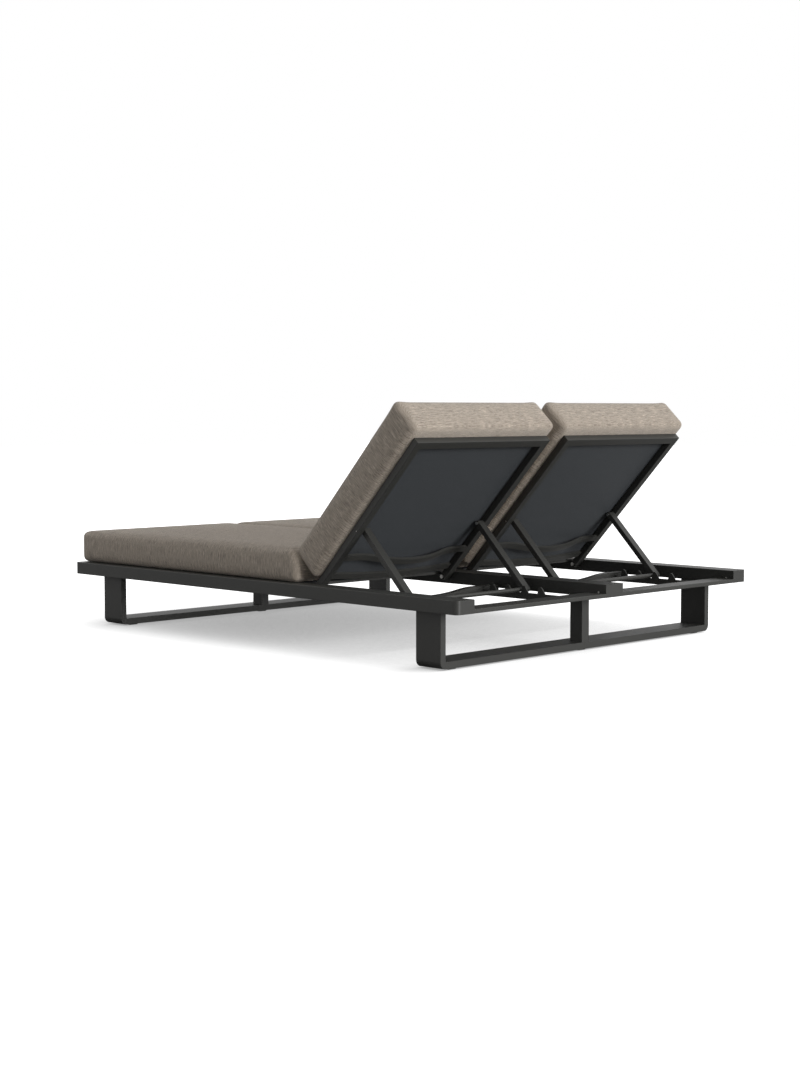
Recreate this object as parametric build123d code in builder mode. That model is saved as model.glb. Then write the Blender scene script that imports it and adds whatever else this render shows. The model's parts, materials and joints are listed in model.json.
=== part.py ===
from build123d import *
import os
from math import asin, atan, cos, degrees, radians, sin

# Double chaise lounger: two reclining bays side by side in one low frame.
# X runs across, +Y points to the head end, Z points up from the floor. Lengths are millimetres.
# The lounger is alike left and right of X = 0. Backs are drawn raised, as at rest.

# Frame
overall_width = 1600.0
rail_length = 2080.0
rail_height = 46.0
side_rail_width = 82.0
centre_rail_width = 94.4
rail_wall = 3.0
rail_edge_radius = 2.0
rail_corner_radius = 17.0
end_block_length = 20.0
cross_rail_width = 78.5
head_cross_rail_height = 14.4
cross_rail_wall = 2.5

# Leg loops
glide_height = 5.0
leg_height = 193.0
leg_strip_width = 111.5
leg_strip_thickness = 24.0
leg_wall = 2.5
leg_corner_radius = 24.0
leg_inset = 59.1
head_leg_from_end = 128.1
foot_leg_from_end = 111.1
centre_leg_width = 39.0
centre_leg_depth = 55.0
glide_width = 36.0
glide_length = 84.0
glide_inset = 52.0

# Screws at the head corners
screw_head_radius = 3.5
screw_head_height = 2.5
screw_from_end = 32.0

# Backs
back_angle = 46.9
pivot_from_head = 752.5
back_length = 715.0
arm_width = 30.0
arm_depth = 25.0
arm_wall = 2.0
arm_edge_radius = 1.5
arm_side_gap = 1.0
lowered_back_gap = 0.5
spreader_along = 148.0
lower_bar_along = 44.0
lower_bar_bow = 15.0

# Flat bar, bowed or straight, that ties tubes and rails together
bar_width = 25.0
bar_thickness = 10.0
back_bow = 37.0
back_bow_straight = 55.0
seat_bow = 17.0
seat_bow_straight = 120.0
shoulder_share = 0.35

# Sling fabric
sling_thickness = 1.2
sling_setback = 0.3

# Pivot bolts and washers
pivot_bolt_radius = 4.0
pivot_head_radius = 7.0
pivot_head_height = 4.5
pivot_bolt_grip = 20.0
washer_radius = 10.0
washer_thickness = 0.8
running_clearance = 0.08
seated_clearance = 0.05

# Props
prop_pin_along = 292.0
prop_pin_behind = 4.9
prop_length = 316.5
strut_width = 30.0
strut_depth = 19.5
strut_wall = 1.8
strut_edge_radius = 1.2
strut_side_gap = 1.0
prop_bolt_radius = 3.0
prop_head_radius = 5.5
prop_head_height = 3.5
prop_washer_radius = 7.5
rod_radius = 8.0

# Racks and the bowed bar that carries their front ends
rack_rise = 3.2
rack_height = 23.7
rack_thickness = 5.0
rack_from_strut = 17.3
rack_bar_from_head = 510.0
rack_bar_drop = 0.9
rack_bar_thickness = 20.0
rack_rear_height = 11.0
rack_taper_length = 60.0
rod_gap = 0.4
rack_ramp_drop = 2.2
rack_ramp_length = 170.0

# Seat deck
seat_bar_from_pivot = 37.5
seat_spreader_shares = (0.33, 0.67)

# Cushions
cushion_gap = 0.3
cushion_corner_radius = 30.0
cushion_draw = 4.0
crown_rise_shares = (0.45, 0.8, 1.0)
crown_inset_shares = (0.12, 0.4, 0.8)
edge_steps = 4
seat_cushion_outer = 765.0
seat_cushion_inner = 10.0
seat_cushion_foot_margin = 4.0
seat_cushion_from_pivot = 44.5
seat_edge_height = 114.0
seat_crown = 12.0
seat_lower_radius = 22.0
seat_upper_radius = 24.0
seat_relief_height = 44.0
seat_relief_depth = 75.0
seat_relief_shoulder = 78.0
back_cushion_outer = 742.0
back_cushion_inner = 24.0
back_cushion_start = 46.0
back_cushion_overhang = 53.0
back_edge_depth = 118.0
back_crown = 11.0
back_rear_radius = 16.0
back_front_radius = 26.0
rail_rebate_inset = 27.0
rail_rebate_depth = 6.9
rebate_edge_depth = 0.6

# Length that a cutting shape runs past the solid that it cuts
overrun = 1.0

# Places that follow from the sizes above
rail_bottom = glide_height + leg_height
rail_top = rail_bottom + rail_height
rail_end = rail_length / 2
side_rail_inner = overall_width / 2 - side_rail_width
centre_rail_side = centre_rail_width / 2
bay_width = side_rail_inner - centre_rail_side
bay_centre = (side_rail_inner + centre_rail_side) / 2
head_cross_rail_top = rail_bottom + head_cross_rail_height
leg_outer = overall_width / 2 - leg_inset

pivot_y = rail_end - pivot_from_head
pivot_z = head_cross_rail_top + lowered_back_gap + arm_depth / 2
back_slope = radians(back_angle)
inner_arm_x = centre_rail_side + arm_side_gap + arm_width / 2
outer_arm_x = side_rail_inner - arm_side_gap - arm_width / 2
arm_clear_width = outer_arm_x - inner_arm_x - arm_width
inner_strut_x = inner_arm_x + arm_width / 2 + strut_side_gap + strut_width / 2
outer_strut_x = outer_arm_x - arm_width / 2 - strut_side_gap - strut_width / 2

prop_pin_y = pivot_y + prop_pin_along * cos(back_slope) + prop_pin_behind * sin(back_slope)
prop_pin_z = pivot_z + prop_pin_along * sin(back_slope) - prop_pin_behind * cos(back_slope)
rack_top = rail_bottom + rack_rise
rod_z = rack_top + rod_gap + rod_radius
prop_slope = asin((prop_pin_z - rod_z) / prop_length)
rod_y = prop_pin_y + prop_length * cos(prop_slope)
inner_rack_x = inner_strut_x + strut_width / 2 + rack_from_strut
outer_rack_x = outer_strut_x - strut_width / 2 - rack_from_strut

sling_top = rail_top - sling_setback
seat_bar_top = sling_top - sling_thickness
seat_bar_y = pivot_y - seat_bar_from_pivot
seat_sling_end = seat_bar_y + bar_width / 2
foot_cross_rail_inner = -rail_end + cross_rail_width
rack_bar_y = rail_end - rack_bar_from_head
rack_bar_top = head_cross_rail_top - rack_bar_drop
rack_bar_bottom = rack_bar_top - rack_bar_thickness

sides = (("left", 1), ("right", -1))


def across(x):
    """Plane square to X, drawn in Y and Z."""
    return Plane(origin=(x, 0, 0), x_dir=(0, 1, 0), z_dir=(1, 0, 0))


def along(y):
    """Plane square to Y, drawn in X and Z, that faces the foot end."""
    return Plane(origin=(0, y, 0), x_dir=(1, 0, 0), z_dir=(0, -1, 0))


def level(z):
    """Horizontal plane at a height."""
    return Plane.XY.offset(z)


def back_side(x):
    """Plane square to X, drawn along the back from its pivot and out of its front face."""
    slope = (0, cos(back_slope), sin(back_slope))
    return Plane(origin=(x, pivot_y, pivot_z), x_dir=slope, z_dir=(1, 0, 0))


def back_face(depth, x=0):
    """Plane parallel to the back, drawn across it and up it, in front of its rear face."""
    front = (0, -sin(back_slope), cos(back_slope))
    middle = Plane(origin=(x, pivot_y, pivot_z), x_dir=(1, 0, 0), z_dir=front)
    return middle.offset(depth - arm_depth / 2)


def back_level(distance, x):
    """Plane square to the back's length, drawn across it from x and out of its front face."""
    rise = (0, cos(back_slope), sin(back_slope))
    origin = (x, pivot_y + distance * rise[1], pivot_z + distance * rise[2])
    return Plane(origin=origin, x_dir=(-1, 0, 0), z_dir=rise)


def prop_side(x):
    """Plane square to X, drawn down the prop from its pin and out of its upper face."""
    slope = (0, cos(prop_slope), -sin(prop_slope))
    return Plane(origin=(x, prop_pin_y, prop_pin_z), x_dir=slope, z_dir=(1, 0, 0))


back_direction = Axis((0, 0, 0), (0, cos(back_slope), sin(back_slope)))
prop_direction = Axis((0, 0, 0), (0, cos(prop_slope), -sin(prop_slope)))


def finish(piece, name):
    """Label a finished piece and write it to its own file."""
    piece.part.label = name
    export_step(piece.part, f"parts/{name}.step")


def bowed_points(length, straight, bow, rise):
    """Points of a bowed bar's face that stands a rise above its middle line.

    The bar runs straight, then over a shoulder, down to its lowest point and back alike.
    """
    bowed_half = length / 2 - straight
    turn = 2 * atan(bow / bowed_half)
    both_radii = bowed_half / sin(turn)
    shoulder = both_radii * shoulder_share
    trough = both_radii - shoulder
    points = [(-length / 2, rise), (-bowed_half, rise)]
    for angle in (turn / 2, turn):
        reach = shoulder + rise
        points.append((-bowed_half + reach * sin(angle), reach * cos(angle) - shoulder))
    points.append((0, rise - bow))
    reach = trough - rise
    half_turn = (-reach * sin(turn / 2), trough - bow - reach * cos(turn / 2))
    return points, half_turn


def bowed_edge(length, straight, bow, rise):
    """Draw one long edge of a bowed bar from its left end to its right end."""
    points, half_turn = bowed_points(length, straight, bow, rise)
    start, bend, over, down, lowest = points
    Line(start, bend)
    ThreePointArc(bend, over, down)
    ThreePointArc(down, half_turn, lowest)
    mirrored = [(-x, y) for x, y in (start, bend, over, down, lowest, half_turn)]
    start, bend, over, down, lowest, half_turn = mirrored
    ThreePointArc(lowest, half_turn, down)
    ThreePointArc(down, over, bend)
    Line(bend, start)


def bowed_bar(length, straight, bow, middle=0, thickness=bar_thickness):
    """Draw the side face of a bowed bar whose straight ends lie about a middle line."""
    half = thickness / 2
    with BuildLine() as outline:
        bowed_edge(length, straight, bow, half)
        bowed_edge(length, straight, bow, -half)
        Line((-length / 2, half), (-length / 2, -half))
        Line((length / 2, half), (length / 2, -half))
    with Locations((0, middle)):
        add(make_face(outline.edges(), mode=Mode.PRIVATE))


def cushion_outline(low, high, inset):
    """Draw a cushion's outline, drawn in along its sides, within two opposite corners."""
    left, bottom = low[0] + inset, low[1] + inset
    right, top = high[0] - inset, high[1] - inset
    middle_x, middle_y = (left + right) / 2, (bottom + top) / 2
    radius = cushion_corner_radius
    cut = radius * (1 - cos(radians(45)))
    with BuildLine() as outline:
        ThreePointArc((left + radius, bottom), (middle_x, bottom + cushion_draw), (right - radius, bottom))
        ThreePointArc((right - radius, bottom), (right - cut, bottom + cut), (right, bottom + radius))
        ThreePointArc((right, bottom + radius), (right - cushion_draw, middle_y), (right, top - radius))
        ThreePointArc((right, top - radius), (right - cut, top - cut), (right - radius, top))
        ThreePointArc((right - radius, top), (middle_x, top - cushion_draw), (left + radius, top))
        ThreePointArc((left + radius, top), (left + cut, top - cut), (left, top - radius))
        ThreePointArc((left, top - radius), (left + cushion_draw, middle_y), (left, bottom + radius))
        ThreePointArc((left, bottom + radius), (left + cut, bottom + cut), (left + radius, bottom))
    make_face(outline.edges())


def cushion_levels(start, edge_height, crown, lower_radius, upper_radius, half_width):
    """Heights and insets of a cushion's outlines, from its flat face to its crown."""
    levels = []
    for step in range(edge_steps):
        turn = radians(90 * step / (edge_steps - 1))
        levels.append((start + lower_radius * (1 - cos(turn)), lower_radius * (1 - sin(turn))))
    for step in range(edge_steps):
        turn = radians(75 * step / (edge_steps - 1))
        rise = edge_height - upper_radius + upper_radius * sin(turn)
        levels.append((rise, upper_radius * (1 - cos(turn))))
    for rise_share, inset_share in zip(crown_rise_shares, crown_inset_shares):
        inset = upper_radius + (half_width - cushion_corner_radius - upper_radius) * inset_share
        levels.append((edge_height + crown * rise_share, inset))
    return levels


os.makedirs("parts", exist_ok=True)

# Long rails: box tubes, closed by end blocks
tube_length = rail_length - 2 * end_block_length
side_rail_x = overall_width / 2 - side_rail_width / 2
for side, sign in sides:
    with BuildPart() as side_rail:
        with BuildSketch(along(tube_length / 2)):
            with Locations((sign * side_rail_x, rail_bottom + rail_height / 2)):
                RectangleRounded(side_rail_width, rail_height, rail_edge_radius)
                Rectangle(
                    side_rail_width - 2 * rail_wall, rail_height - 2 * rail_wall, mode=Mode.SUBTRACT
                )
        extrude(amount=tube_length)
        with BuildSketch(across(sign * side_rail_inner)):
            with Locations((pivot_y, pivot_z)):
                Circle(pivot_bolt_radius + seated_clearance)
        extrude(amount=rail_wall + overrun, both=True, mode=Mode.SUBTRACT)
    finish(side_rail, f"{side}_side_rail")

with BuildPart() as centre_rail:
    with BuildSketch(along(tube_length / 2)):
        with Locations((0, rail_bottom + rail_height / 2)):
            RectangleRounded(centre_rail_width, rail_height, rail_edge_radius)
            Rectangle(
                centre_rail_width - 2 * rail_wall, rail_height - 2 * rail_wall, mode=Mode.SUBTRACT
            )
    extrude(amount=tube_length)
    with BuildSketch(across(0)):
        with Locations((pivot_y, pivot_z)):
            Circle(pivot_bolt_radius + seated_clearance)
    extrude(amount=centre_rail_side + overrun, both=True, mode=Mode.SUBTRACT)
finish(centre_rail, "centre_rail")

with BuildPart() as end_blocks:
    for end in (1, -1):
        for x, width in (
            (-side_rail_x, side_rail_width),
            (0, centre_rail_width),
            (side_rail_x, side_rail_width),
        ):
            block_start = tube_length / 2 if end == 1 else -rail_end
            with BuildSketch(along(block_start + end_block_length)):
                with Locations((x, rail_bottom + rail_height / 2)):
                    RectangleRounded(width, rail_height, rail_edge_radius)
            extrude(amount=end_block_length)
    with BuildSketch(level(rail_bottom)):
        Rectangle(overall_width + 2 * overrun, rail_length + 2 * overrun)
        RectangleRounded(overall_width, rail_length, rail_corner_radius, mode=Mode.SUBTRACT)
    extrude(amount=rail_height, mode=Mode.SUBTRACT)
finish(end_blocks, "rail_end_blocks")

# Cross rails, one pair for each bay
for side, sign in sides:
    for end_name, end, height in (("head", 1, head_cross_rail_height), ("foot", -1, rail_height)):
        with BuildPart() as cross_rail:
            with BuildSketch(across(sign * bay_centre)):
                with Locations((end * (rail_end - cross_rail_width / 2), rail_bottom + height / 2)):
                    RectangleRounded(cross_rail_width, height, rail_edge_radius)
                    Rectangle(
                        cross_rail_width - 2 * cross_rail_wall,
                        height - 2 * cross_rail_wall,
                        mode=Mode.SUBTRACT,
                    )
            extrude(amount=bay_width / 2, both=True)
        finish(cross_rail, f"{side}_{end_name}_cross_rail")

# Leg loops: wide strip bent up at both ends, with a centre leg and glides beneath
head_leg_y = rail_end - head_leg_from_end - leg_strip_width / 2
foot_leg_y = -rail_end + foot_leg_from_end + leg_strip_width / 2
for end_name, leg_y in (("head", head_leg_y), ("foot", foot_leg_y)):
    leg_rear = leg_y + leg_strip_width / 2
    with BuildPart() as leg_loop:
        with BuildSketch(along(leg_rear)) as loop_outline:
            with Locations((0, (glide_height + rail_bottom) / 2)):
                Rectangle(2 * leg_outer, leg_height)
            fillet(loop_outline.vertices().group_by(Axis.Y)[0], radius=leg_corner_radius)
            with Locations((0, (glide_height + leg_strip_thickness + rail_bottom) / 2)):
                Rectangle(
                    2 * (leg_outer - leg_strip_thickness),
                    leg_height - leg_strip_thickness,
                    mode=Mode.SUBTRACT,
                )
        extrude(amount=leg_strip_width)
        with BuildSketch(along(leg_rear - leg_wall)) as hollow_outline:
            with Locations((0, (glide_height + leg_wall + rail_bottom) / 2)):
                Rectangle(2 * (leg_outer - leg_wall), leg_height - leg_wall)
            fillet(hollow_outline.vertices().group_by(Axis.Y)[0], radius=leg_corner_radius - leg_wall)
            with Locations((0, (glide_height + leg_strip_thickness - leg_wall + rail_bottom) / 2)):
                Rectangle(
                    2 * (leg_outer - leg_strip_thickness + leg_wall),
                    leg_height - leg_strip_thickness + leg_wall,
                    mode=Mode.SUBTRACT,
                )
        extrude(amount=leg_strip_width - 2 * leg_wall, mode=Mode.SUBTRACT)
    finish(leg_loop, f"{end_name}_leg_loop")

    with BuildPart() as centre_leg:
        with BuildSketch(level(glide_height + leg_strip_thickness)):
            with Locations((0, leg_rear - centre_leg_depth / 2)):
                RectangleRounded(centre_leg_width, centre_leg_depth, arm_edge_radius)
                Rectangle(
                    centre_leg_width - 2 * leg_wall, centre_leg_depth - 2 * leg_wall, mode=Mode.SUBTRACT
                )
        extrude(amount=leg_height - leg_strip_thickness)
    finish(centre_leg, f"{end_name}_centre_leg")

    with BuildPart() as glides:
        glide_x = leg_outer - glide_inset - glide_width / 2
        with BuildSketch(level(0)):
            with Locations(*[(x, leg_y) for x in (-glide_x, 0, glide_x)]):
                RectangleRounded(glide_width, glide_length, rail_edge_radius)
        extrude(amount=glide_height)
    finish(glides, f"{end_name}_glides")

# Screws on the rails' inner faces, over the ends of the head cross rails
with BuildPart() as frame_screws:
    screw_z = head_cross_rail_top + screw_head_radius + cushion_gap
    for face_x, outward in (
        (side_rail_inner, -1),
        (centre_rail_side, 1),
        (-centre_rail_side, -1),
        (-side_rail_inner, 1),
    ):
        with BuildSketch(across(face_x)):
            with Locations((rail_end - screw_from_end, screw_z)):
                Circle(screw_head_radius)
        extrude(amount=outward * screw_head_height)
finish(frame_screws, "frame_screws")

# Pivot bolts run from inside the rails through washers and the backs' arms
with BuildPart() as pivot_bolts:
    for _, sign in sides:
        for arm_x, outward in ((inner_arm_x, 1), (outer_arm_x, -1)):
            rail_face = arm_x - outward * (arm_width / 2 + arm_side_gap)
            head_face = arm_x + outward * (arm_width / 2 + washer_thickness)
            with BuildSketch(across(sign * (rail_face - outward * pivot_bolt_grip))):
                with Locations((pivot_y, pivot_z)):
                    Circle(pivot_bolt_radius)
            shank_length = pivot_bolt_grip + arm_side_gap + arm_width + washer_thickness
            extrude(amount=sign * outward * shank_length)
            with BuildSketch(across(sign * head_face)):
                with Locations((pivot_y, pivot_z)):
                    Circle(pivot_head_radius)
            extrude(amount=sign * outward * pivot_head_height)
finish(pivot_bolts, "back_pivot_bolts")

with BuildPart() as pivot_washers:
    for _, sign in sides:
        for arm_x, outward in ((inner_arm_x, 1), (outer_arm_x, -1)):
            rail_face = arm_x - outward * (arm_width / 2 + arm_side_gap)
            with BuildSketch(across(sign * rail_face)):
                with Locations((pivot_y, pivot_z)):
                    Circle(washer_radius)
                    Circle(pivot_bolt_radius + seated_clearance, mode=Mode.SUBTRACT)
            extrude(amount=sign * outward * washer_thickness)
finish(pivot_washers, "back_pivot_washers")

# Seat deck: a stretched sling over bars, between the rails
sling_start = foot_cross_rail_inner
seat_sling_length = seat_sling_end - sling_start
for side, sign in sides:
    with BuildPart() as seat_bar:
        with BuildSketch(level(seat_bar_top)):
            with Locations((sign * bay_centre, seat_bar_y)):
                Rectangle(bay_width, bar_width)
        extrude(amount=-bar_thickness)
    finish(seat_bar, f"{side}_seat_rear_bar")

    with BuildPart() as seat_spreaders:
        for share in seat_spreader_shares:
            spreader_y = sling_start + seat_sling_length * share
            bar_middle = (sign * bay_centre, seat_bar_top - bar_thickness / 2)
            bar_plane = Plane(
                origin=(bar_middle[0], spreader_y + bar_width / 2, bar_middle[1]),
                x_dir=(1, 0, 0),
                z_dir=(0, -1, 0),
            )
            with BuildSketch(bar_plane):
                bowed_bar(bay_width, seat_bow_straight, seat_bow)
            extrude(amount=bar_width)
    finish(seat_spreaders, f"{side}_seat_spreaders")

    with BuildPart() as seat_sling:
        with BuildSketch(level(seat_bar_top)):
            with Locations((sign * bay_centre, (sling_start + seat_sling_end) / 2)):
                Rectangle(bay_width, seat_sling_length)
        extrude(amount=sling_thickness)
    finish(seat_sling, f"{side}_seat_sling")

    # The cushion's rear end is relieved where the back cushion swings against it
    with BuildPart() as seat_cushion:
        cushion_x = sorted((sign * seat_cushion_inner, sign * seat_cushion_outer))
        cushion_rear = pivot_y - seat_cushion_from_pivot
        cushion_low = (cushion_x[0], -rail_end + seat_cushion_foot_margin)
        cushion_high = (cushion_x[1], cushion_rear)
        seat_levels = cushion_levels(
            0,
            seat_edge_height,
            seat_crown,
            seat_lower_radius,
            seat_upper_radius,
            (cushion_x[1] - cushion_x[0]) / 2,
        )
        for height, inset in seat_levels:
            with BuildSketch(level(rail_top + cushion_gap + height)):
                cushion_outline(cushion_low, cushion_high, inset)
        loft(ruled=True)
        with BuildSketch(across(sign * bay_centre)):
            relief_low = rail_top + seat_relief_height
            relief_front = cushion_rear - seat_relief_depth
            relief_top = rail_top + seat_edge_height + seat_crown + overrun
            with BuildLine():
                Polyline(
                    (cushion_rear + overrun, relief_low),
                    (relief_front, rail_top + seat_relief_shoulder),
                    (relief_front, relief_top),
                    (cushion_rear + overrun, relief_top),
                    close=True,
                )
            make_face()
        extrude(amount=bay_width, both=True, mode=Mode.SUBTRACT)
    finish(seat_cushion, f"{side}_seat_cushion")

# Racks: upright plates that the props' rods rest on, carried by a bowed bar and the head cross rail
for side, sign in sides:
    with BuildPart() as rack_bar:
        bar_plane = Plane(
            origin=(sign * bay_centre, rack_bar_y + bar_width / 2, (rack_bar_top + rack_bar_bottom) / 2),
            x_dir=(1, 0, 0),
            z_dir=(0, -1, 0),
        )
        with BuildSketch(bar_plane):
            bowed_bar(bay_width, seat_bow_straight, seat_bow, thickness=rack_bar_thickness)
        extrude(amount=bar_width)
    finish(rack_bar, f"{side}_rack_bar")

    for rack_name, rack_x in (("inner", inner_rack_x), ("outer", outer_rack_x)):
        with BuildPart() as rack:
            bar_front = rack_bar_y - bar_width / 2
            bar_rear = rack_bar_y + bar_width / 2
            rack_rear = rail_end - cross_rail_width
            ramp_top_y = bar_rear + rack_ramp_length
            with BuildSketch(across(sign * rack_x)):
                with BuildLine():
                    Polyline(
                        (bar_front, rack_top - rack_height),
                        (rack_rear - rack_taper_length, rack_top - rack_height),
                        (rack_rear, rack_top - rack_rear_height),
                        (rack_rear, rack_top),
                        (ramp_top_y, rack_top),
                        (bar_rear, rack_top - rack_ramp_drop),
                        (bar_rear, rack_bar_bottom),
                        (bar_front, rack_bar_bottom),
                        close=True,
                    )
                make_face()
            extrude(amount=rack_thickness / 2, both=True)
        finish(rack, f"{side}_{rack_name}_rack")

# Backs: mitred tube frame, bowed bars, sling and cushion
for side, sign in sides:
    for arm_name, arm_x, outward in (("inner", inner_arm_x, -1), ("outer", outer_arm_x, 1)):
        outer_edge = sign * (arm_x + outward * arm_width / 2)
        inner_edge = sign * (arm_x - outward * arm_width / 2)
        wall = sign * outward * arm_wall
        with BuildPart() as arm:
            with BuildSketch(back_face(0)):
                with BuildLine():
                    Polyline(
                        (inner_edge, 0),
                        (outer_edge, 0),
                        (outer_edge, back_length),
                        (inner_edge, back_length - arm_width),
                        close=True,
                    )
                make_face()
            extrude(amount=arm_depth)
            fillet(arm.edges().filter_by(back_direction), radius=arm_edge_radius)
            with BuildSketch(back_face(arm_wall)):
                with BuildLine():
                    Polyline(
                        (inner_edge + wall, arm_depth / 2),
                        (outer_edge - wall, arm_depth / 2),
                        (outer_edge - wall, back_length),
                        (inner_edge + wall, back_length),
                        close=True,
                    )
                make_face()
            extrude(amount=arm_depth - 2 * arm_wall, mode=Mode.SUBTRACT)
            with BuildSketch(back_side(sign * arm_x)):
                Circle(arm_depth / 2)
            extrude(amount=arm_width / 2, both=True)
            with BuildSketch(back_side(sign * arm_x)):
                Circle(pivot_bolt_radius + running_clearance)
            extrude(amount=arm_width, both=True, mode=Mode.SUBTRACT)
            with BuildSketch(back_side(sign * arm_x)):
                with Locations((prop_pin_along, -prop_pin_behind)):
                    Circle(prop_bolt_radius + seated_clearance)
            extrude(amount=arm_width, both=True, mode=Mode.SUBTRACT)
        finish(arm, f"{side}_{arm_name}_arm")

    with BuildPart() as top_rail:
        top_half = arm_clear_width / 2 + arm_width
        with BuildSketch(back_face(0, sign * bay_centre)):
            with BuildLine():
                Polyline(
                    (-top_half, back_length),
                    (top_half, back_length),
                    (top_half - arm_width, back_length - arm_width),
                    (arm_width - top_half, back_length - arm_width),
                    close=True,
                )
            make_face()
        extrude(amount=arm_depth)
        fillet(top_rail.edges().filter_by(Axis.X), radius=arm_edge_radius)
        with BuildSketch(back_face(arm_wall)):
            with Locations((sign * bay_centre, back_length - arm_width / 2)):
                Rectangle(2 * top_half, arm_width - 2 * arm_wall)
        extrude(amount=arm_depth - 2 * arm_wall, mode=Mode.SUBTRACT)
    finish(top_rail, f"{side}_back_top_rail")

    with BuildPart() as spreader:
        with BuildSketch(back_level(spreader_along, sign * bay_centre)):
            bowed_bar(arm_clear_width, back_bow_straight, back_bow, (bar_thickness - arm_depth) / 2)
        extrude(amount=bar_width)
    finish(spreader, f"{side}_back_spreader")

    sling_front = arm_depth / 2 - sling_setback
    sling_rear = sling_front - sling_thickness
    with BuildPart() as lower_bar:
        with BuildSketch(back_level(lower_bar_along, sign * bay_centre)):
            half = arm_clear_width / 2
            bar_rear = sling_rear - bar_thickness
            with BuildLine():
                for face in (sling_rear, bar_rear):
                    ThreePointArc((-half, face), (0, face - lower_bar_bow), (half, face))
                Line((-half, sling_rear), (-half, bar_rear))
                Line((half, sling_rear), (half, bar_rear))
            make_face()
        extrude(amount=bar_width)
    finish(lower_bar, f"{side}_back_lower_bar")

    with BuildPart() as back_sling:
        sling_end = back_length - arm_width
        for distance, bow in ((lower_bar_along, lower_bar_bow), (sling_end, 0)):
            with BuildSketch(back_level(distance, sign * bay_centre)):
                half = arm_clear_width / 2
                with BuildLine():
                    for face in (sling_front, sling_rear):
                        if bow:
                            ThreePointArc((-half, face), (0, face - bow), (half, face))
                        else:
                            Line((-half, face), (half, face))
                    Line((-half, sling_front), (-half, sling_rear))
                    Line((half, sling_front), (half, sling_rear))
                make_face()
        loft(ruled=True)
    finish(back_sling, f"{side}_back_sling")

    # The cushion's rear face is stepped so that it nests between the rails when the back is down
    with BuildPart() as back_cushion:
        cushion_x = sorted((sign * back_cushion_inner, sign * back_cushion_outer))
        cushion_low = (cushion_x[0], back_cushion_start)
        cushion_high = (cushion_x[1], back_length + back_cushion_overhang)
        back_levels = [(0, rail_rebate_inset), (rail_rebate_depth, rail_rebate_inset)]
        back_levels += cushion_levels(
            rail_rebate_depth + rebate_edge_depth,
            back_edge_depth,
            back_crown,
            back_rear_radius,
            back_front_radius,
            (cushion_x[1] - cushion_x[0]) / 2,
        )
        for depth, inset in back_levels:
            with BuildSketch(back_face(arm_depth + cushion_gap + depth)):
                cushion_outline(cushion_low, cushion_high, inset)
        loft(ruled=True)
    finish(back_cushion, f"{side}_back_cushion")

    with BuildPart() as prop_bolts:
        for arm_x, outward in ((inner_arm_x, 1), (outer_arm_x, -1)):
            strut_face = arm_x + outward * (arm_width / 2 + strut_side_gap + strut_width)
            shank_start = arm_x - outward * (arm_width / 2 - arm_wall - seated_clearance)
            head_face = strut_face + outward * seated_clearance
            with BuildSketch(back_side(sign * shank_start)):
                with Locations((prop_pin_along, -prop_pin_behind)):
                    Circle(prop_bolt_radius)
            extrude(amount=sign * (head_face - shank_start))
            with BuildSketch(back_side(sign * head_face)):
                with Locations((prop_pin_along, -prop_pin_behind)):
                    Circle(prop_head_radius)
            extrude(amount=sign * outward * prop_head_height)
    finish(prop_bolts, f"{side}_prop_bolts")

    with BuildPart() as prop_washers:
        for arm_x, outward in ((inner_arm_x, 1), (outer_arm_x, -1)):
            arm_face = arm_x + outward * arm_width / 2
            with BuildSketch(back_side(sign * arm_face)):
                with Locations((prop_pin_along, -prop_pin_behind)):
                    Circle(prop_washer_radius)
                    Circle(prop_bolt_radius + seated_clearance, mode=Mode.SUBTRACT)
            extrude(amount=sign * outward * washer_thickness)
    finish(prop_washers, f"{side}_prop_washers")

# Props: two struts hung on the arms, joined by the rod that rests on the racks
for side, sign in sides:
    for strut_name, strut_x in (("inner", inner_strut_x), ("outer", outer_strut_x)):
        with BuildPart() as strut:
            with BuildSketch(prop_side(sign * strut_x)):
                with Locations((prop_length / 2, 0)):
                    Rectangle(prop_length, strut_depth)
            extrude(amount=strut_width / 2, both=True)
            fillet(strut.edges().filter_by(prop_direction), radius=strut_edge_radius)
            with BuildSketch(prop_side(sign * strut_x)):
                with Locations((prop_length / 2, 0)):
                    Rectangle(prop_length - strut_depth, strut_depth - 2 * strut_wall)
            extrude(amount=strut_width / 2 - strut_wall, both=True, mode=Mode.SUBTRACT)
            with BuildSketch(prop_side(sign * strut_x)):
                with Locations((0, 0), (prop_length, 0)):
                    Circle(strut_depth / 2)
            extrude(amount=strut_width / 2, both=True)
            with BuildSketch(prop_side(sign * strut_x)):
                Circle(prop_bolt_radius + running_clearance)
            extrude(amount=strut_width, both=True, mode=Mode.SUBTRACT)
        finish(strut, f"{side}_{strut_name}_strut")

    with BuildPart() as rod:
        rod_x = (inner_strut_x + outer_strut_x) / 2
        rod_length = outer_strut_x - inner_strut_x - strut_width
        with BuildSketch(prop_side(sign * rod_x)):
            with Locations((prop_length, 0)):
                Circle(rod_radius)
        extrude(amount=rod_length / 2, both=True)
    finish(rod, f"{side}_prop_rod")

print(f"prop slope at rest {degrees(prop_slope):.3f}, rod at y {rod_y:.2f}, z {rod_z:.2f}")
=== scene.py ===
# %% [markdown]
# # A double chaise lounger, dressed for its portrait
#
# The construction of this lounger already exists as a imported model: rails, leg loops,
# reclining backs, props and racks, all at their real size. This script gives every surface
# its finish, and models the parts that a rigid solid can't show: the four box cushions, the
# stretched slings and the teeth of the racks. Everything is in metres in one shared frame:
# X runs across the lounger, +Y points to the head end and Z points up from the floor.

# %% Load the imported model
import json
import math

import bmesh
import bpy
import numpy as np
from mathutils import Matrix, Vector


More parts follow.
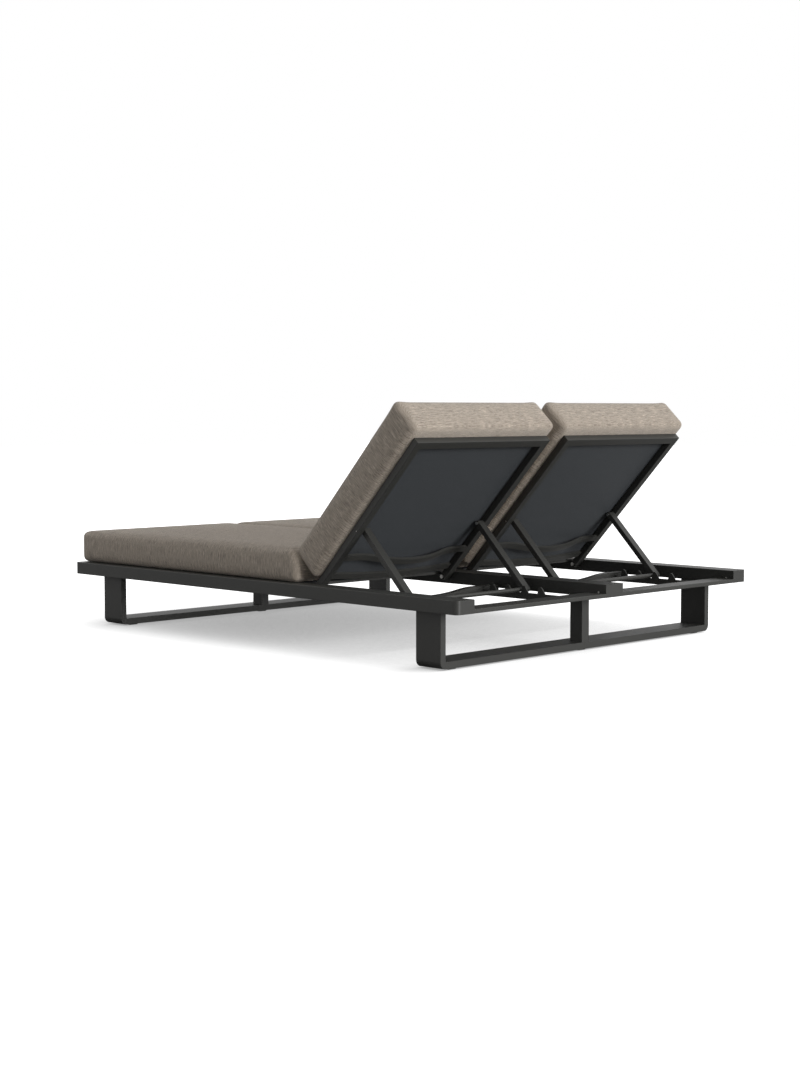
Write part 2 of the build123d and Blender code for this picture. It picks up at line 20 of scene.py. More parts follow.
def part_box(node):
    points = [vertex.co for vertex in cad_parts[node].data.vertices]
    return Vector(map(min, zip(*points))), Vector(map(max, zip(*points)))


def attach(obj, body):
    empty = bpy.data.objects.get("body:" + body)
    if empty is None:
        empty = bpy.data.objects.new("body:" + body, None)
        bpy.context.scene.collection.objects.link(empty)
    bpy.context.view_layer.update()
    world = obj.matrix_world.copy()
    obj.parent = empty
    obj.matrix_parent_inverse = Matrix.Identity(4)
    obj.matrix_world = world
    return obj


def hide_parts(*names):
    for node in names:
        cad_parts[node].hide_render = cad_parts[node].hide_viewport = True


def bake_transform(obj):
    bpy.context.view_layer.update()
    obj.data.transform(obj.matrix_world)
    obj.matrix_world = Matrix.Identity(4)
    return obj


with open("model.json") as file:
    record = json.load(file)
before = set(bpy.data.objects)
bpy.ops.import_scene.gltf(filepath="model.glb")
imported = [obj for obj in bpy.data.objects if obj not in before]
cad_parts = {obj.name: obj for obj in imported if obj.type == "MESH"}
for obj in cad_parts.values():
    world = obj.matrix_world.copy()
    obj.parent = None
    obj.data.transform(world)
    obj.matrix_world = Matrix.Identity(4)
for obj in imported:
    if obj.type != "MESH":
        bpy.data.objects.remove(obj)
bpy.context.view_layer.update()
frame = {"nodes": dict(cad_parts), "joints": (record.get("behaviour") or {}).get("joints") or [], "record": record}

# %% [markdown]
# Lengths are easier to read in millimetres, because that is how furniture is measured.
# Multiplying by one small value turns them into Blender's metres. The two bays are alike left
# and right of X = 0, so most pieces below are made once for each side.

# %% Lengths and the two bays
MM = 0.001
SIDES = ("left", "right")
hinges = {joint["name"]: joint for joint in frame["joints"]}
pivot = Vector(hinges["left_back_hinge"]["pos_m"])
back_slope = math.radians(-hinges["left_back_hinge"]["range_deg"][0])
print("backs lie at", round(math.degrees(back_slope), 1), "degrees at rest")

# %% [markdown]
# A reclined back is awkward to model in world axes. It is easier in its own: X across,
# Y up along the back from its pivot, and Z out of its front face. One matrix carries points
# from the back's axes to the world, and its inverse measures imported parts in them.

# %% The back's own axes
back_to_world = Matrix.Translation((0, pivot.y, pivot.z)) @ Matrix.Rotation(back_slope, 4, "X")
world_to_back = back_to_world.inverted()


def extent(node, matrix=None):
    """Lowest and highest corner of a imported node, measured in the axes of a matrix."""
    points = [v.co for v in frame["nodes"][node].data.vertices]
    if matrix is not None:
        points = [matrix @ p for p in points]
    low = Vector([min(p[i] for p in points) for i in range(3)])
    high = Vector([max(p[i] for p in points) for i in range(3)])
    return low, high


print("pivots at Y", round(pivot.y, 3), "and Z", round(pivot.z, 3))

# %% [markdown]
# ## The camera
#
# The portrait is taken from behind the head end, low and from the lounger's left, with a
# long lens. Place, turn and lens come from fitting the frame's straight edges to the picture.

# %% Camera
CAMERA_PLACE = (4.9028, 4.8838, 0.8462)
CAMERA_TURN = 134.971
CAMERA_PITCH = 3.947
CAMERA_LENS = 60.34
SENSOR = 36.0
CAMERA_REACH = 200.0

camera_data = bpy.data.cameras.new("portrait_camera")
camera_data.lens = CAMERA_LENS
camera_data.sensor_width = SENSOR
camera_data.clip_end = CAMERA_REACH
camera = bpy.data.objects.new("portrait_camera", camera_data)
camera.location = CAMERA_PLACE
camera.rotation_euler = (math.radians(90 - CAMERA_PITCH), 0, math.radians(CAMERA_TURN))
bpy.context.scene.collection.objects.link(camera)
bpy.context.scene.camera = camera
print("camera stands", round(math.hypot(*CAMERA_PLACE[:2]), 2), "m away")

# %% [markdown]
# ## Colours and nodes
#
# A material is a small graph of nodes. A few helpers keep such graphs short: they turn a hex
# colour into the linear values that nodes expect, add a node and set or connect its inputs by
# name, start a material, finish it with one shader, and blend two colours. An input that
# shares its name with another is written with its number, such as _0.

# %% Colours and nodes
WHITE = (1, 1, 1, 1)


def linear(hex_colour):
    """Linear RGBA of an sRGB hex colour."""
    channels = []
    for i in (1, 3, 5):
        c = int(hex_colour[i:i + 2], 16) / 255
        channels.append(c / 12.92 if c <= 0.04045 else ((c + 0.055) / 1.055) ** 2.4)
    return (*channels, 1.0)


def add(tree, kind, settings=None, **inputs):
    """Add a node with its settings, and set or link its inputs by name."""
    node = tree.nodes.new(kind)
    for name, value in (settings or {}).items():
        setattr(node, name, value)
    for name, value in inputs.items():
        numbered = name[0] == "_" and name[1:].isdigit()
        socket = node.inputs[int(name[1:]) if numbered else name.replace("_", " ")]
        if isinstance(value, bpy.types.NodeSocket):
            tree.links.new(value, socket)
        else:
            socket.default_value = value
    return node


def start_material(name):
    """A new material with an empty node tree and an output."""
    material = bpy.data.materials.new(name)
    material.use_nodes = True
    tree = material.node_tree
    tree.nodes.clear()
    output = add(tree, "ShaderNodeOutputMaterial")
    return material, tree, output


def cover(tree, output, **inputs):
    """Finish a material with one Principled shader."""
    shader = add(tree, "ShaderNodeBsdfPrincipled", **inputs)
    tree.links.new(shader.outputs[0], output.inputs["Surface"])


def two_tone(tree, factor, dark, pale):
    """Colour between two hex colours."""
    tone = add(tree, "ShaderNodeMix", {"data_type": "RGBA"}, _0=factor, _6=linear(dark),
               _7=linear(pale))
    return tone.outputs[2]


# %% [markdown]
# ## The studio
#
# The object stands on a white sweep under broad soft light. The room itself gives most of it:
# a direction is the brighter, the further it points to the bright side. Two sun lamps with
# wide angles stand in for soft boxes, one overhead and one at the head end. The backdrop is
# white only to the camera and to what glass and metal reflect, so it adds no light of its own.

# %% World and lamps
DARK_SIDE = 0.4
BRIGHT_SIDE = 0.72
BRIGHT_FROM = (-0.85, -0.5, 0.15)
BLEND_FROM = -0.5
BLEND_TO = 0.9
BACKDROP = 1.0
LAMPS = (
    ("overhead_softbox", 0.12, 40, (0.2, -0.1, -1)),
    ("head_end_softbox", 2.8, 22, (0.2, -1, -0.2)),
)

bpy.context.scene.view_settings.view_transform = "Standard"
world = bpy.data.worlds.new("studio")
bpy.context.scene.world = world
world.use_nodes = True
sky = world.node_tree
sky.nodes.clear()
direction = add(sky, "ShaderNodeTexCoord")
side_on = add(sky, "ShaderNodeVectorMath", {"operation": "DOT_PRODUCT"},
              _0=direction.outputs["Generated"], _1=BRIGHT_FROM)
softbox = add(sky, "ShaderNodeMapRange", {"interpolation_type": "SMOOTHSTEP"},
              Value=side_on.outputs["Value"], From_Min=BLEND_FROM, From_Max=BLEND_TO,
              To_Min=DARK_SIDE, To_Max=BRIGHT_SIDE)
path = add(sky, "ShaderNodeLightPath")
sees_backdrop = path.outputs["Is Camera Ray"]
for ray in ("Is Transmission Ray", "Is Glossy Ray"):
    either = add(sky, "ShaderNodeMath", {"operation": "MAXIMUM"}, _0=sees_backdrop,
                 _1=path.outputs[ray])
    sees_backdrop = either.outputs[0]
level = add(sky, "ShaderNodeMix", {"data_type": "FLOAT"}, _0=sees_backdrop,
            _2=softbox.outputs[0], _3=BACKDROP)
glow = add(sky, "ShaderNodeBackground", Color=WHITE, Strength=level.outputs[0])
add(sky, "ShaderNodeOutputWorld", Surface=glow.outputs[0])

for name, strength, angle, shines_along in LAMPS:
    lamp = bpy.data.lights.new(name, "SUN")
    lamp.energy = strength
    lamp.angle = math.radians(angle)
    lamp_object = bpy.data.objects.new(name, lamp)
    lamp_object.rotation_mode = "QUATERNION"
    lamp_object.rotation_quaternion = Vector(shines_along).to_track_quat("-Z", "Y")
    bpy.context.scene.collection.objects.link(lamp_object)
    print(name, "strength", strength)

# %% [markdown]
# The floor is a white sweep. To the camera it glows white, and the soft shadow of the frame
# and the cushions is painted into that glow: a painted shadow, as deep as the share of the room
# that each spot of the floor can no longer see. Each spot looks up with a slight lean to the
# brighter side of the room, so the painted shadow falls towards the lounger's left. Everything
# else sees plain matt grey.

# %% Floor
FLOOR_SIZE = 60.0
FLOOR_GREY = (0.42, 0.42, 0.42, 1)
SHADOW_REACH = 1.2
SHADOW_SAMPLES = 16
SHADOW_DEEPEST = 0.28
SHADOW_CLEARS = 1.25
SHADOW_LEAN = (-0.35, 0.3, 1)

floor_mesh = bmesh.new()
bmesh.ops.create_grid(floor_mesh, x_segments=1, y_segments=1, size=FLOOR_SIZE / 2)
floor_data = bpy.data.meshes.new("studio_floor")
floor_mesh.to_mesh(floor_data)
floor_mesh.free()
floor = bpy.data.objects.new("studio_floor", floor_data)
bpy.context.scene.collection.objects.link(floor)

sweep, tree, output = start_material("white_studio_sweep")
path = add(tree, "ShaderNodeLightPath")
matt = add(tree, "ShaderNodeBsdfDiffuse", Color=FLOOR_GREY)
lean = add(tree, "ShaderNodeCombineXYZ", X=SHADOW_LEAN[0], Y=SHADOW_LEAN[1], Z=SHADOW_LEAN[2])
open_share = add(tree, "ShaderNodeAmbientOcclusion", {"samples": SHADOW_SAMPLES},
                 Distance=SHADOW_REACH, Normal=lean.outputs[0])
shadow = add(tree, "ShaderNodeMath", {"operation": "MULTIPLY_ADD"}, _0=open_share.outputs["AO"],
             _1=SHADOW_CLEARS, _2=SHADOW_DEEPEST)
# Painted shadow: the glow the camera sees is dimmed where a spot sees less of the room.
glow_with_painted_shadow = add(tree, "ShaderNodeEmission", Color=WHITE, Strength=shadow.outputs[0])
floor_mix = add(tree, "ShaderNodeMixShader", _0=path.outputs["Is Camera Ray"],
                _1=matt.outputs[0], _2=glow_with_painted_shadow.outputs[0])
tree.links.new(floor_mix.outputs[0], output.inputs["Surface"])
floor_data.materials.append(sweep)
print("floor is", FLOOR_SIZE, "m wide")

# %% [markdown]
# ## Powder-coated aluminium
#
# Outdoor frames are aluminium with a baked charcoal powder coat. It is a satin plastic skin,
# so it isn't metallic. Cured powder leaves a fine orange peel, less than a tenth of a
# millimetre high and about a millimetre across, which breaks up reflections.

# %% Powder coat
PEEL_SIZE = 1.4 * MM
PEEL_HEIGHT = 0.05 * MM
PEEL_STRENGTH = 0.5
COAT_TONES = ("#292927", "#2f2f2c")
COAT_CLOUDS = 6.0
COAT_ROUGHNESS = (0.42, 0.56)


def powder_coat():
    """Charcoal powder coat with a fine orange peel."""
    material, tree, output = start_material("charcoal_powder_coat")
    place = add(tree, "ShaderNodeTexCoord")
    peel = add(tree, "ShaderNodeTexNoise", Vector=place.outputs["Object"], Scale=1 / PEEL_SIZE,
               Detail=2.0, Roughness=0.5)
    cloud = add(tree, "ShaderNodeTexNoise", Vector=place.outputs["Object"], Scale=COAT_CLOUDS,
                Detail=3.0)
    gloss = add(tree, "ShaderNodeMapRange", Value=peel.outputs["Fac"], To_Min=COAT_ROUGHNESS[0],
                To_Max=COAT_ROUGHNESS[1])
    bump = add(tree, "ShaderNodeBump", Height=peel.outputs["Fac"], Strength=PEEL_STRENGTH,
               Distance=PEEL_HEIGHT)
    cover(tree, output, Base_Color=two_tone(tree, cloud.outputs["Fac"], *COAT_TONES),
          Roughness=gloss.outputs[0], Normal=bump.outputs[0], Metallic=0.0)
    return material


coat = powder_coat()
print("made", coat.name)

# %% [markdown]
# ## Sling fabric
#
# The slings are vinyl-coated polyester mesh, near black, in a plain weave of about a
# millimetre. The weave is drawn from two crossed waves, so it never repeats as a picture
# would. A wave texture of scale 1 has a band every tenth of pi, so a pitch gives its scale.

# %% Sling weave
WAVE_REPEAT = math.pi / 10
SLING_PITCH = 1.0053 * MM
SLING_HOLLOW_SHADE_AND_THREAD = ("#2f3235", "#44474a")
SLING_ROUGHNESS = 0.62
SLING_RELIEF = 0.2 * MM
SLING_BUMP = 0.4


def plain_weave(tree, place, pitch, wobble=0.0):
    """Height of a plain weave, as the product of waves across and along it."""
    waves = []
    for direction in ("X", "Y"):
        wave = add(tree, "ShaderNodeTexWave", {"bands_direction": direction}, Vector=place,
                   Scale=WAVE_REPEAT / pitch, Distortion=wobble)
        waves.append(wave.outputs["Fac"])
    weave = add(tree, "ShaderNodeMath", {"operation": "MULTIPLY"}, _0=waves[0], _1=waves[1])
    return weave.outputs[0]


def sling_mesh():
    """Near-black coated mesh with a plain weave, with painted shade in its hollows."""
    material, tree, output = start_material("coated_sling_mesh")
    place = add(tree, "ShaderNodeUVMap")
    weave = plain_weave(tree, place.outputs[0], SLING_PITCH)
    bump = add(tree, "ShaderNodeBump", Height=weave, Strength=SLING_BUMP,
               Distance=SLING_RELIEF)
    # Painted shade: the low points of the weave take the darker tone, as if shaded between the threads.
    cover(tree, output, Base_Color=two_tone(tree, weave, *SLING_HOLLOW_SHADE_AND_THREAD),
          Roughness=SLING_ROUGHNESS, Normal=bump.outputs[0])
    return material


sling = sling_mesh()
print("made", sling.name)

# %% [markdown]
# ## Cushion cloth
#
# The covers are a solution-dyed outdoor weave in taupe. Its weft is a melange slub yarn: pale
# and dark fibres twisted together, so short streaks run across the cushions and down their
# sides. The pattern follows a UV map in millimetres, U along the weft and V along the warp, so
# the lengths and widths of the streaks below are millimetres too.

# %% Cushion cloth
YARN_PITCH = 0.69115
YARN_WOBBLE = 0.6
SLUB_SIZE = (42, 3.2)
FLECK_SIZE = (15, 1.6)
STREAK_SPREAD = (0.7, 1.3)
YARN_DARKEST = "#796d63"
YARN_PALEST = "#d7cbbc"
YARN_BETWEEN = ((0.35, "#9f9385"), (0.7, "#b7aa9b"))
CLOTH_RELIEF = 0.9 * MM
CLOTH_BUMP = 0.7
CLOTH_ROUGHNESS = 0.9
CLOTH_SHEEN = 0.25
SHEEN_ROUGHNESS = 0.5


def streaks(tree, place, size, detail):
    """Noise in streaks of a length along the weft and a width along the warp."""
    stretched = add(tree, "ShaderNodeMapping", Vector=place,
                    Scale=(1 / size[0], 1 / size[1], 1))
    noise = add(tree, "ShaderNodeTexNoise", Vector=stretched.outputs[0], Scale=1.0,
                Detail=detail)
    return noise.outputs["Fac"]


def cushion_cloth():
    """Taupe melange weave with slubs along the weft."""
    material, tree, output = start_material("taupe_melange_weave")
    place = add(tree, "ShaderNodeUVMap").outputs[0]
    slub = streaks(tree, place, SLUB_SIZE, 2.0)
    fleck = streaks(tree, place, FLECK_SIZE, 3.0)
    both = add(tree, "ShaderNodeMath", {"operation": "ADD"}, _0=slub, _1=fleck)
    spread = add(tree, "ShaderNodeMapRange", Value=both.outputs[0], From_Min=STREAK_SPREAD[0],
                 From_Max=STREAK_SPREAD[1])
    tone = add(tree, "ShaderNodeValToRGB", Fac=spread.outputs[0])
    ramp = tone.color_ramp
    ramp.elements[0].color = linear(YARN_DARKEST)
    ramp.elements[1].color = linear(YARN_PALEST)
    for share, colour in YARN_BETWEEN:
        ramp.elements.new(share).color = linear(colour)
    weave = plain_weave(tree, place, YARN_PITCH, YARN_WOBBLE)
    relief = add(tree, "ShaderNodeMath", {"operation": "ADD"}, _0=weave, _1=both.outputs[0])
    bump = add(tree, "ShaderNodeBump", Height=relief.outputs[0], Strength=CLOTH_BUMP,
               Distance=CLOTH_RELIEF)
    cover(tree, output, Base_Color=tone.outputs[0], Roughness=CLOTH_ROUGHNESS,
          Normal=bump.outputs[0], Sheen_Weight=CLOTH_SHEEN, Sheen_Roughness=SHEEN_ROUGHNESS)
    return material


melange = cushion_cloth()
print("made", melange.name)

# %% [markdown]
# ## Plastic and stainless steel
#
# The glides and washers are moulded black nylon, dull and slightly mottled. The screws and
# bolts are turned stainless steel: they stay bright beside the coat, with faint turning marks.

# %% Nylon and stainless
NYLON_TONES = ("#0d0d0d", "#161616")
NYLON_MOTTLE = 400.0
NYLON_RELIEF = 0.1 * MM
NYLON_BUMP = 0.3
NYLON_ROUGHNESS = 0.6
STEEL_TONE = "#d6d5d1"
STEEL_TURNING = 1500.0
STEEL_ROUGHNESS = (0.22, 0.34)


def moulded_nylon():
    """Dull black moulded nylon."""
    material, tree, output = start_material("moulded_black_nylon")
    place = add(tree, "ShaderNodeTexCoord")
    mottle = add(tree, "ShaderNodeTexNoise", Vector=place.outputs["Object"], Scale=NYLON_MOTTLE,
                 Detail=2.0)
    bump = add(tree, "ShaderNodeBump", Height=mottle.outputs["Fac"], Strength=NYLON_BUMP,
               Distance=NYLON_RELIEF)
    cover(tree, output, Base_Color=two_tone(tree, mottle.outputs["Fac"], *NYLON_TONES),
          Roughness=NYLON_ROUGHNESS, Normal=bump.outputs[0])
    return material


def stainless_steel():
    """Turned stainless steel."""
    material, tree, output = start_material("turned_stainless_steel")
    place = add(tree, "ShaderNodeTexCoord")
    turning = add(tree, "ShaderNodeTexNoise", Vector=place.outputs["Object"],
                  Scale=STEEL_TURNING, Detail=1.0)
    gloss = add(tree, "ShaderNodeMapRange", Value=turning.outputs["Fac"],
                To_Min=STEEL_ROUGHNESS[0], To_Max=STEEL_ROUGHNESS[1])
    cover(tree, output, Base_Color=linear(STEEL_TONE), Metallic=1.0, Roughness=gloss.outputs[0])
    return material


nylon = moulded_nylon()
steel = stainless_steel()
print("made", nylon.name, "and", steel.name)

# %% [markdown]
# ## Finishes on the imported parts
#
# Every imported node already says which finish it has, so the materials are handed out by that
# name. New pieces below take theirs from the same table.

# %% Hand out the finishes
FINISHES = {
    "frame_metal": coat,
    "sling_fabric": sling,
    "cushion_fabric": melange,
    "plastic": nylon,
    "fastener": steel,
}
slot_of = {row["node"]: row["material_slot"] for row in frame["record"]["subparts"]}
for name, node in frame["nodes"].items():
    node.data.materials.clear()
    node.data.materials.append(FINISHES[slot_of[name]])
print("finished", len(frame["nodes"]), "packed nodes")


def make_piece(name, mesh, slot, body, smooth=False):
    """Turn a bmesh into an object with its finish, riding on a body."""
    bmesh.ops.recalc_face_normals(mesh, faces=mesh.faces)
    data = bpy.data.meshes.new(name)
    mesh.to_mesh(data)
    mesh.free()
    for face in data.polygons:
        face.use_smooth = smooth
    data.materials.append(FINISHES[slot])
    piece = bpy.data.objects.new(name, data)
    bpy.context.scene.collection.objects.link(piece)
    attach(piece, body)
    return piece


# %% [markdown]
# ## Cushions
#
# Each bay has a seat cushion and a back cushion of firm foam in a sewn cover: a box with
# softly rounded edges and a low crown. One bevel rounds the whole box. Planes then slice its
# flat faces into small even squares, so that there is something to bend.

# %% Cushion block
EDGE_RADIUS = 23 * MM
EDGE_STEPS = 5
SQUARE = 17 * MM


def slice_block(block, place, normal, clear_outer=False):
    """Slice everything in a block along a plane."""
    everything = block.verts[:] + block.edges[:] + block.faces[:]
    bmesh.ops.bisect_plane(block, geom=everything, plane_co=place, plane_no=normal,
                           clear_outer=clear_outer)


def cushion_block(low, high, cut=None):
    """A rounded box sliced into small squares, with one edge cut off before it is rounded."""
    block = bmesh.new()
    bmesh.ops.create_cube(block, size=1)
    bmesh.ops.scale(block, vec=high - low, verts=block.verts)
    bmesh.ops.translate(block, vec=(low + high) / 2, verts=block.verts)
    if cut is not None:
        slice_block(block, *cut, clear_outer=True)
        rim = [edge for edge in block.edges if edge.is_boundary]
        bmesh.ops.contextual_create(block, geom=rim)
    bmesh.ops.bevel(block, geom=block.edges[:], offset=EDGE_RADIUS, segments=EDGE_STEPS,
                    profile=0.5, affect="EDGES", material=-1)
    for axis in range(3):
        first = low[axis] + EDGE_RADIUS
        length = high[axis] - low[axis] - 2 * EDGE_RADIUS
        count = round(length / SQUARE)
        normal = Vector([float(i == axis) for i in range(3)])
        for number in range(1, count):
            slice_block(block, normal * (first + length * number / count), normal)
    return block


# %% [markdown]
# The weft of the cover runs across the cushion, over its long edges and down its sides, and
# the warp runs along it and down its ends. So both are measured with a tape that bends over
# the edges: the distance across or along, then the drop below the top, then back underneath.
# The tape starts to bend a little inside the edge, and near a corner it follows whichever of
# the two faces is closer.

# %% Weft and warp as UV
TAPE_BENDS_FROM = 1.8 * EDGE_RADIUS
TAPE_BENDS_OVER = 1.4 * EDGE_RADIUS


def positions(data):
    """The mesh's points as an array of rows."""
    flat = np.empty(len(data.vertices) * 3)
    data.vertices.foreach_get("co", flat)
    return flat.reshape(-1, 3)


def lay_weft(data, low, high):
    """UV map in millimetres, U along the weft and V along the warp."""
    corners = np.empty(len(data.loops), int)
    data.loops.foreach_get("vertex_index", corners)
    points = positions(data)[corners]
    middle = np.array((low + high) / 2)[:2]
    half = np.array((high - low) / 2)[:2]
    away = points[:, :2] - middle
    out = np.abs(away)
    past = out - half
    share = np.clip((past + TAPE_BENDS_FROM) / TAPE_BENDS_OVER, 0, 1)
    on_end = np.clip((past[:, 1] - past[:, 0]) / EDGE_RADIUS + 0.5, 0, 1)
    share[:, 0] *= 1 - on_end
    share[:, 1] *= on_end
    drop = high.z - points[:, 2:]
    under = drop > (high.z - low.z) / 2
    out += under * 2 * share * (half - out)
    laid = middle + np.sign(away) * (out + share * drop)
    uv = data.uv_layers.new(name="weft_and_warp")
    uv.data.foreach_set("uv", laid.ravel() / MM)


# %% [markdown]
# The cover is blown up by Blender's cloth solver, as the wadding under a real one does: the
# faces rise, and the edges between them are drawn in. How far a point may move is capped, so
# the firm foam keeps its box. The underside is then laid flat again where it rests. A low
# crown is the foam's own: it rises towards the middle and fades out down the sides.

# %% Swell the cover
SWELL_CAP = 3 * MM
SWELL_FRAMES = 10
SWELL_PRESSURE = 0.6
CROWN = 5 * MM
CROWN_FLATNESS = 4
CROWN_FADE = 2
TINY = 1e-9


def put(data, points):
    """Write an array of rows back to the mesh."""
    data.vertices.foreach_set("co", np.ascontiguousarray(points).ravel())
    data.update()


def swell(data, floor_z):
    """Blow the skin up with the cloth solver, and cap how far each point may move."""
    holder = bpy.data.objects.new("swelling", data)
    bpy.context.scene.collection.objects.link(holder)
    cloth = holder.modifiers.new("swelling", "CLOTH")
    cloth.settings.use_pressure = True
    cloth.settings.uniform_pressure_force = SWELL_PRESSURE
    cloth.settings.effector_weights.gravity = 0
    cloth.point_cache.frame_end = SWELL_FRAMES
    scene = bpy.context.scene
    start = positions(data)
    for number in range(1, SWELL_FRAMES + 1):
        scene.frame_set(number)
    graph = bpy.context.evaluated_depsgraph_get()
    blown = bpy.data.meshes.new_from_object(holder.evaluated_get(graph))
    step = positions(blown) - start
    length = np.linalg.norm(step, axis=1, keepdims=True)
    step *= np.minimum(1, SWELL_CAP / np.maximum(length, TINY))
    result = start + step
    result[:, 2] = np.maximum(result[:, 2], floor_z)
    put(data, result)
    scene.frame_set(1)
    bpy.data.objects.remove(holder)
    bpy.data.meshes.remove(blown)
    return length.max()


def raise_crown(data, low, high):
    """Raise a low crown on the upper face."""
    points = positions(data)
    share = np.clip((2 * points - np.array(low) - np.array(high)) / np.array(high - low), -1, 1)
    dome = (1 - share[:, 0] ** CROWN_FLATNESS) * (1 - share[:, 1] ** CROWN_FLATNESS)
    points[:, 2] += CROWN * dome * (0.5 + 0.5 * share[:, 2]) ** CROWN_FADE
    put(data, points)


# %% [markdown]
# The covers stand a few millimetres proud of the imported solids, which are the firm foam. The
# back cushion's lower edge stands against the rear end of the seat cushion. There the
# seat cushion's upper edge is cut back to a slope, close in front of it, as foam is that has
# been leaned on.

# %% Make the cushions
SEAT_PROUD = Vector((5, 5, -6)) * MM
SEAT_SLOPE_LOW = Vector((0, -2, 74)) * MM
SEAT_SLOPE_HIGH = Vector((0, -36, 126)) * MM
BACK_PROUD_LOW = 14 * MM
BACK_PROUD = Vector((0, -6, 9)) * MM


def make_cushion(name, low, high, node, matrix=None, cut=None):
    """Model one cushion in its own axes and put it in its place."""
    block = cushion_block(low, high, cut)
    bmesh.ops.recalc_face_normals(block, faces=block.faces)
    data = bpy.data.meshes.new(name)
    block.to_mesh(data)
    block.free()
    raise_crown(data, low, high)
    blown = swell(data, low.z)
    print(name, "was blown up by", round(blown / MM, 1), "mm before the cap")
    lay_weft(data, low, high)
    if matrix is not None:
        data.transform(matrix)
    for face in data.polygons:
        face.use_smooth = True
    data.materials.append(FINISHES["cushion_fabric"])
    piece = bpy.data.objects.new(name, data)
    bpy.context.scene.collection.objects.link(piece)
    subdivision = piece.modifiers.new("soft_cover", "SUBSURF")
    subdivision.levels = 1
    subdivision.render_levels = 1
    print(name, "has", len(data.vertices), "points before it is made smoother")
    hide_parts(node)
    return piece


for side in SIDES:
    low, high = extent(f"{side}_seat_cushion")
    low.y -= SEAT_PROUD.y
    high.z += SEAT_PROUD.z
    if side == "left":
        high.x += SEAT_PROUD.x
    else:
        low.x -= SEAT_PROUD.x
    rear_foot = Vector((0, high.y, low.z))
    slope_low = rear_foot + SEAT_SLOPE_LOW
    rise = rear_foot + SEAT_SLOPE_HIGH - slope_low
    cut = (slope_low, Vector((0, rise.z, -rise.y)))
    pad = make_cushion(f"{side}_seat_pad", low, high, f"{side}_seat_cushion", cut=cut)
    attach(pad, "frame")

    low, high = extent(f"{side}_back_cushion", world_to_back)
    low.y -= BACK_PROUD_LOW
    high += BACK_PROUD
    pad = make_cushion(f"{side}_back_pad", low, high, f"{side}_back_cushion", back_to_world)
    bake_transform(pad)
    print("made the", side, "cushions")

# %% [markdown]
# ## Racks
#
# Each prop's rod rests against one of four teeth on a pair of upright plates. A tooth is
# steep in front, where the rod pushes, and slopes away behind, so the rod rides over it when
# the back is lifted. The plate is drawn as one outline, filled and given its thickness. The
# points of a tooth are millimetres from its tip: those of its rear side and its front
# shoulder rise from the plate's upper edge, and those of its crest hang from the top.

# %% Rack plates with their teeth
TOOTH_TIPS = (583.0 * MM, 656.5 * MM, 733.0 * MM, 810.0 * MM)
TOOTH_TOP = 225.5 * MM
TOOTH_REAR = ((21, 0), (18.5, 6), (14, 11.5))
TOOTH_CREST = ((8, -3.5), (3, -0.6), (0, 0), (-3.5, -0.8), (-7.5, -3.6))
TOOTH_FRONT = ((-10.8, 11), (-12, 0))
RACK_TAPER = 60.0 * MM
RACK_REAR = 11.0 * MM
RAMP_LENGTH = 170.0 * MM
RAMP_DROP = 2.2 * MM
BAR_THICKNESS = 20.0 * MM
CUT_EDGE = 0.5 * MM


def upper_edge(y, bar_rear, top):
    """Height of a rack's upper edge, which falls a little towards its bar."""
    fallen = (bar_rear + RAMP_LENGTH - y) / RAMP_LENGTH
    return top - RAMP_DROP * min(1, max(0, fallen))


def tooth_points(tip, bar_rear, top):
    """One tooth's points in Y and Z, from its rear foot over the crest to its front foot."""
    behind = upper_edge(tip + TOOTH_REAR[0][0] * MM, bar_rear, top)
    before = upper_edge(tip + TOOTH_FRONT[-1][0] * MM, bar_rear, top)
    sides = ((TOOTH_REAR, behind), (TOOTH_CREST, TOOTH_TOP), (TOOTH_FRONT, before))
    return [(tip + y * MM, base + z * MM) for points, base in sides for y, z in points]


def rack_outline(low, high, bar_rear, bar_bottom):
    """The rack's outline in Y and Z, anticlockwise from its lower front corner."""
    top = high.z
    points = [(low.y, low.z), (high.y - RACK_TAPER, low.z)]
    points += [(high.y, top - RACK_REAR), (high.y, top)]
    for tip in reversed(TOOTH_TIPS):
        points += tooth_points(tip, bar_rear, top)
    points += [(bar_rear, top - RAMP_DROP), (bar_rear, bar_bottom), (low.y, bar_bottom)]
    return points


for side in SIDES:
    bar_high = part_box(f"{side}_rack_bar")[1]
    for place_name in ("inner", "outer"):
        node = f"{side}_{place_name}_rack"
        low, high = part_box(node)
        rack = bmesh.new()
        outline = rack_outline(low, high, bar_high.y, bar_high.z - BAR_THICKNESS)
        verts = [rack.verts.new((low.x, y, z)) for y, z in outline]
        face = rack.faces.new(verts)
        grown = bmesh.ops.extrude_face_region(rack, geom=[face])
        moved = [g for g in grown["geom"] if isinstance(g, bmesh.types.BMVert)]
        bmesh.ops.translate(rack, vec=(high.x - low.x, 0, 0), verts=moved)
        piece = make_piece(f"{side}_{place_name}_toothed_rack", rack, "frame_metal", "frame")
        bevel = piece.modifiers.new("cut_edges", "BEVEL")
        bevel.width = CUT_EDGE
        bevel.segments = 2
        bevel.limit_method = "ANGLE"
        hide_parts(node)
print("each rack has", len(TOOTH_TIPS), "teeth")

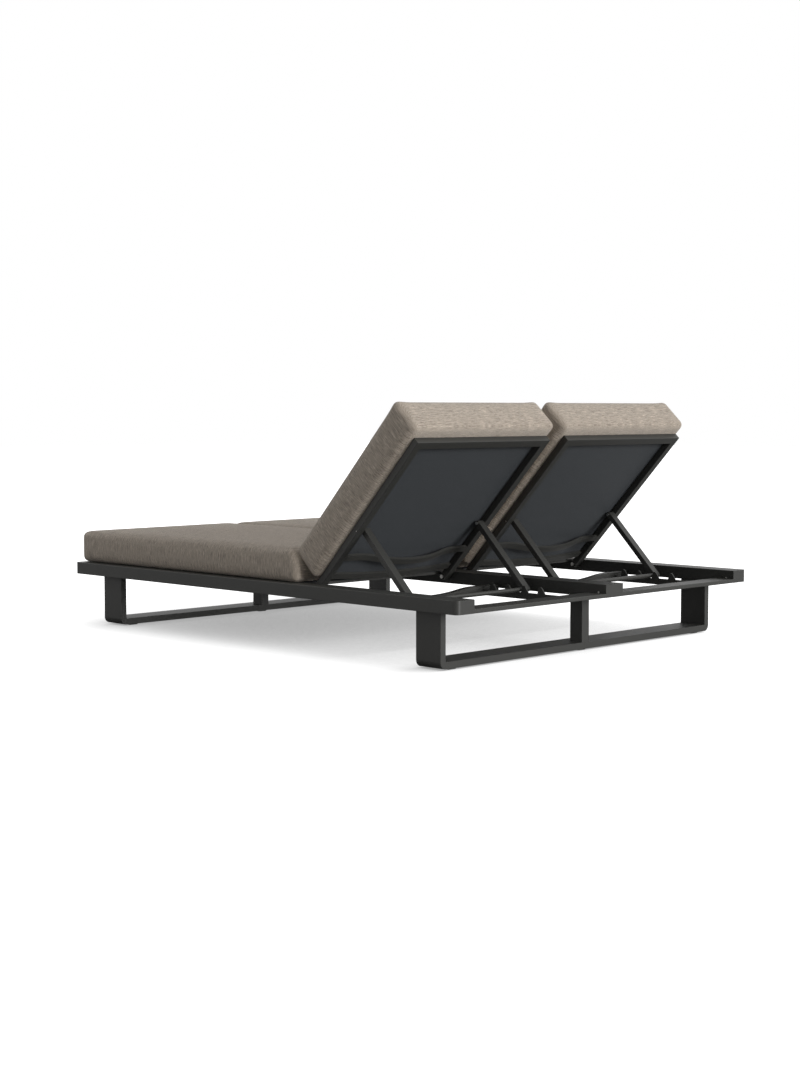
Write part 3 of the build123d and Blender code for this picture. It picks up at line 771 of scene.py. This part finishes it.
# %% [markdown]
# ## Slings
#
# The slings carry the cushions. Each is one sheet under tension, so it is nearly flat: the
# back's sling follows its bowed lower bar and straightens towards the top rail.

# %% Slings
SLING_THICKNESS = 1.1 * MM
SEAT_SQUARES = (24, 40)
BACK_SQUARES = (32, 32)
BACK_BOW = 15 * MM


def flat_grid(low, high, height, squares):
    """A level grid over the rectangle between two corners."""
    grid = bmesh.new()
    bmesh.ops.create_grid(grid, x_segments=squares[0], y_segments=squares[1], size=0.5)
    bmesh.ops.scale(grid, vec=(high.x - low.x, high.y - low.y, 1), verts=grid.verts)
    middle = (low + high) / 2
    bmesh.ops.translate(grid, vec=(middle.x, middle.y, height), verts=grid.verts)
    return grid


def sheet_piece(name, grid, body, node, flat):
    """Give a sheet its weave, thickness and finish, and hide the imported node."""
    piece = make_piece(name, grid, "sling_fabric", body, smooth=True)
    uv = piece.data.uv_layers.new(name="weave")
    for loop in piece.data.loops:
        co = piece.data.vertices[loop.vertex_index].co
        uv.data[loop.index].uv = (co.x, math.hypot(co.y, co.z))
    thick = piece.modifiers.new("thickness", "SOLIDIFY")
    thick.thickness = SLING_THICKNESS
    thick.offset = 0
    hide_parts(node)
    print(name, "is", round(flat[0], 3), "by", round(flat[1], 3), "m flat")


for side in SIDES:
    low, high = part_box(f"{side}_seat_sling")
    seat = flat_grid(low, high, (low.z + high.z) / 2, SEAT_SQUARES)
    sheet_piece(f"{side}_seat_sheet", seat, "frame", f"{side}_seat_sling",
                (high.x - low.x, high.y - low.y))

    low, high = extent(f"{side}_back_sling", world_to_back)
    back = flat_grid(low, high, high.z, BACK_SQUARES)
    length = high.y - low.y
    middle = (low.x + high.x) / 2
    for vert in back.verts:
        across_share = (vert.co.x - middle) / ((high.x - low.x) / 2)
        up_share = (vert.co.y - low.y) / length
        vert.co.z -= SLING_THICKNESS / 2 + BACK_BOW * (1 - across_share ** 2) * (1 - up_share)
    bmesh.ops.transform(back, matrix=back_to_world, verts=back.verts)
    sheet_piece(f"{side}_back_sheet", back, f"{side}_back", f"{side}_back_sling",
                (high.x - low.x, length))
